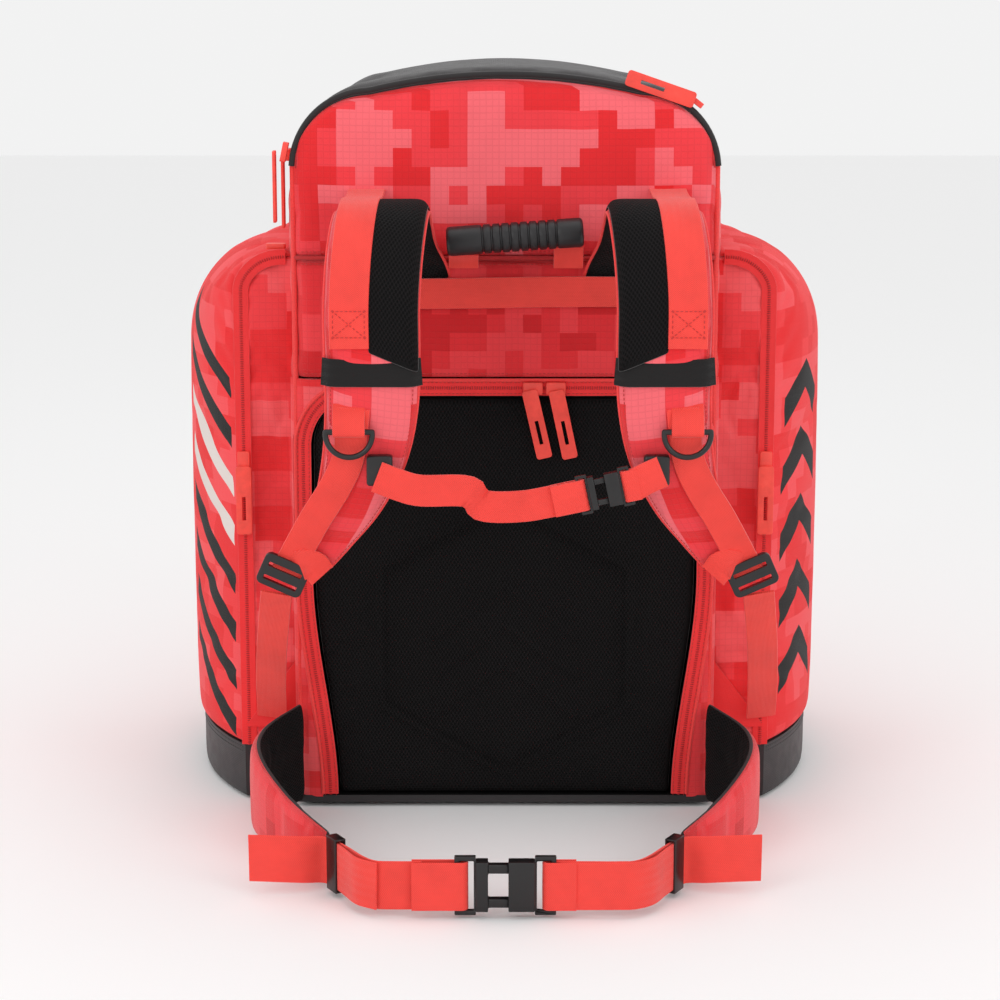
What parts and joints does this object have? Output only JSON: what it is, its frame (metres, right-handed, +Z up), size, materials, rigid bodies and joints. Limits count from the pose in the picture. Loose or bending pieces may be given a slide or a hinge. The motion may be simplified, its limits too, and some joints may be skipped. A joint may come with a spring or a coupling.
{
  "type": "ski boot bag",
  "caption": "Backpack for ski boots with a lid, a zipped back door, side boot pockets, a padded harness with sternum strap and hip belt, and a grab handle",
  "frame": {"origin": "centre of the underside of the main compartment, on the floor that the bag stands on", "axes": "+Z up; -Y is the harness side, which lies against the wearer's back; +X is to the right of somebody looking at that side"},
  "size_m": [0.544, 0.634, 0.618],
  "materials": {
    "camo_fabric": "matte red ripstop nylon printed with square blocks of three tones",
    "plain_fabric": "plain red nylon",
    "tarpaulin": "black coated tarpaulin, slightly shiny",
    "spacer_mesh": "black three-dimensional spacer mesh",
    "coral_webbing": "coral woven polyester webbing",
    "elastic": "black woven elastic",
    "black_plastic": "black moulded acetal, satin",
    "grip_rubber": "black ribbed rubber",
    "coral_plastic": "coral coated zip slider",
    "pull_rubber": "coral soft moulded zip pull"
  },
  "bodies": {
    "bag": {"base_board": "tarpaulin", "front_panel": "camo_fabric", "left_side_wall": "plain_fabric", "right_side_wall": "plain_fabric", "upper_back_panel": "camo_fabric", "left_back_stile": "camo_fabric", "right_back_stile": "camo_fabric", "door_zip_tape": "coral_webbing", "front_pocket": "camo_fabric", "right_pocket_base": "tarpaulin", "right_pocket_gussets": "camo_fabric", "right_hip_wing": "camo_fabric", "right_strap_pad": "camo_fabric", "left_pocket_base": "tarpaulin", "left_pocket_gussets": "camo_fabric", "left_hip_wing": "camo_fabric", "left_strap_pad": "camo_fabric", "strap_mesh_overlays": "spacer_mesh", "load_lifters": "coral_webbing", "elastic_bands": "elastic", "strap_webbings": "coral_webbing", "ladder_locks": "black_plastic", "lower_webbings": "coral_webbing", "anchor_gussets": "coral_webbing", "strap_root_band": "coral_webbing", "sternum_clips": "black_plastic", "sternum_webbings": "coral_webbing", "sternum_socket": "black_plastic", "belt_keepers": "elastic", "right_belt_webbing": "coral_webbing", "left_belt_webbing": "coral_webbing", "waist_socket": "black_plastic"},
    "lid": {"lid_shell": "tarpaulin", "lid_piping": "coral_webbing"},
    "back_door": {"back_door_pad": "spacer_mesh"},
    "left_pocket_door": {"left_pocket_door": "camo_fabric"},
    "right_pocket_door": {"right_pocket_door": "camo_fabric"},
    "handle": {"handle_grip": "grip_rubber", "handle_webbing": "coral_webbing"},
    "left_ring": {"left_d_ring": "black_plastic"},
    "right_ring": {"right_d_ring": "black_plastic"},
    "door_slider_left": {"door_slider_left": "coral_plastic"},
    "door_pull_left": {"door_pull_left": "pull_rubber"},
    "door_slider_right": {"door_slider_right": "coral_plastic"},
    "door_pull_right": {"door_pull_right": "pull_rubber"},
    "lid_slider_side": {"lid_slider_side": "coral_plastic"},
    "lid_pull_side": {"lid_pull_side": "pull_rubber"},
    "lid_slider_left": {"lid_slider_left": "coral_plastic"},
    "lid_pull_left": {"lid_pull_left": "pull_rubber"},
    "lid_slider_right": {"lid_slider_right": "coral_plastic"},
    "lid_pull_right": {"lid_pull_right": "pull_rubber"},
    "left_pocket_slider": {"left_pocket_slider": "coral_plastic"},
    "left_pocket_pull": {"left_pocket_pull": "pull_rubber"},
    "right_pocket_slider": {"right_pocket_slider": "coral_plastic"},
    "right_pocket_pull": {"right_pocket_pull": "pull_rubber"},
    "left_top_slider": {"left_pocket_top_slider": "coral_plastic"},
    "waist_plug": {"waist_plug": "black_plastic", "waist_loop": "coral_webbing"},
    "sternum_plug": {"sternum_plug": "black_plastic", "sternum_loop": "coral_webbing"}
  },
  "joints": [
    {"name": "lid_hinge", "type": "hinge", "parent": "bag", "child": "lid", "pos_m": [0, 0.17, 0.616], "axis": [-1, 0, 0], "range_deg": [0, 110]},
    {"name": "back_door_hinge", "type": "hinge", "parent": "bag", "child": "back_door", "pos_m": [0, -0.17, 0.008], "axis": [1, 0, 0], "range_deg": [0, 14]},
    {"name": "left_pocket_hinge", "type": "hinge", "parent": "bag", "child": "left_pocket_door", "pos_m": [-0.272, 0, 0.0484], "axis": [0, -1, 0], "range_deg": [0, 95]},
    {"name": "right_pocket_hinge", "type": "hinge", "parent": "bag", "child": "right_pocket_door", "pos_m": [0.272, 0, 0.0484], "axis": [0, 1, 0], "range_deg": [0, 95]},
    {"name": "handle_hinge", "type": "hinge", "parent": "bag", "child": "handle", "pos_m": [0.00946, -0.178, 0.46204], "axis": [-0.9981, 0, -0.061], "range_deg": [0, 27]},
    {"name": "left_ring_swing", "type": "hinge", "parent": "bag", "child": "left_ring", "pos_m": [-0.12, -0.3145, 0.347], "axis": [-1, 0, 0], "range_deg": [0, 60]},
    {"name": "right_ring_swing", "type": "hinge", "parent": "bag", "child": "right_ring", "pos_m": [0.14, -0.3145, 0.347], "axis": [-1, 0, 0], "range_deg": [0, 60]},
    {"name": "door_slider_left_run", "type": "slide", "parent": "back_door", "child": "door_slider_left", "axis": [-1, 0, 0], "range_m": [0, 0.058]},
    {"name": "door_pull_left_swing", "type": "hinge", "parent": "door_slider_left", "child": "door_pull_left", "pos_m": [0.02, -0.1768, 0.358], "axis": [-1, 0, 0], "range_deg": [0, 60]},
    {"name": "door_slider_right_run", "type": "slide", "parent": "back_door", "child": "door_slider_right", "axis": [1, 0, 0], "range_m": [0, 0.024]},
    {"name": "door_pull_right_swing", "type": "hinge", "parent": "door_slider_right", "child": "door_pull_right", "pos_m": [0.042, -0.1768, 0.358], "axis": [-1, 0, 0], "range_deg": [0, 60]},
    {"name": "lid_slider_side_run", "type": "slide", "parent": "lid", "child": "lid_slider_side", "axis": [0, 1, 0], "range_m": [0, 0.24]},
    {"name": "lid_pull_side_swing", "type": "hinge", "parent": "lid_slider_side", "child": "lid_pull_side", "pos_m": [-0.1824, -0.138, 0.546], "axis": [0, 1, 0], "range_deg": [0, 60]},
    {"name": "lid_slider_left_run", "type": "hinge", "parent": "lid", "child": "lid_slider_left", "pos_m": [-0.10878, -0.166, 0.53671], "axis": [0, 1, 0], "range_deg": [0, 50]},
    {"name": "lid_pull_left_swing", "type": "hinge", "parent": "lid_slider_left", "child": "lid_pull_left", "pos_m": [-0.18691, -0.166, 0.55264], "axis": [0, 1, 0], "range_deg": [0, 40]},
    {"name": "lid_slider_right_run", "type": "hinge", "parent": "lid", "child": "lid_slider_right", "pos_m": [0.10878, -0.166, 0.53671], "axis": [0, 1, 0], "range_deg": [-15, 35]},
    {"name": "lid_pull_right_swing", "type": "hinge", "parent": "lid_slider_right", "child": "lid_pull_right", "pos_m": [0.15255, -0.1726, 0.59274], "axis": [0, 1, 0], "range_deg": [0, 70]},
    {"name": "left_pocket_slider_run", "type": "slide", "parent": "left_pocket_door", "child": "left_pocket_slider", "axis": [0, 0, 1], "range_m": [-0.07, 0.12]},
    {"name": "left_pocket_pull_swing", "type": "hinge", "parent": "left_pocket_slider", "child": "left_pocket_pull", "pos_m": [-0.218, -0.157, 0.291], "axis": [-1, 0, 0], "range_deg": [0, 60]},
    {"name": "right_pocket_slider_run", "type": "slide", "parent": "right_pocket_door", "child": "right_pocket_slider", "axis": [0, 0, 1], "range_m": [-0.07, 0.12]},
    {"name": "right_pocket_pull_swing", "type": "hinge", "parent": "right_pocket_slider", "child": "right_pocket_pull", "pos_m": [0.218, -0.157, 0.291], "axis": [-1, 0, 0], "range_deg": [0, 60]},
    {"name": "left_top_slider_run", "type": "slide", "parent": "left_pocket_door", "child": "left_top_slider", "axis": [-1, 0, 0], "range_m": [0, 0.009]},
    {"name": "waist_plug_release", "type": "slide", "parent": "bag", "child": "waist_plug", "axis": [-1, 0, 0], "range_m": [0, 0.024]},
    {"name": "sternum_plug_release", "type": "slide", "parent": "bag", "child": "sternum_plug", "axis": [-0.9781, 0, -0.2079], "range_m": [0, 0.014]}
  ]
}
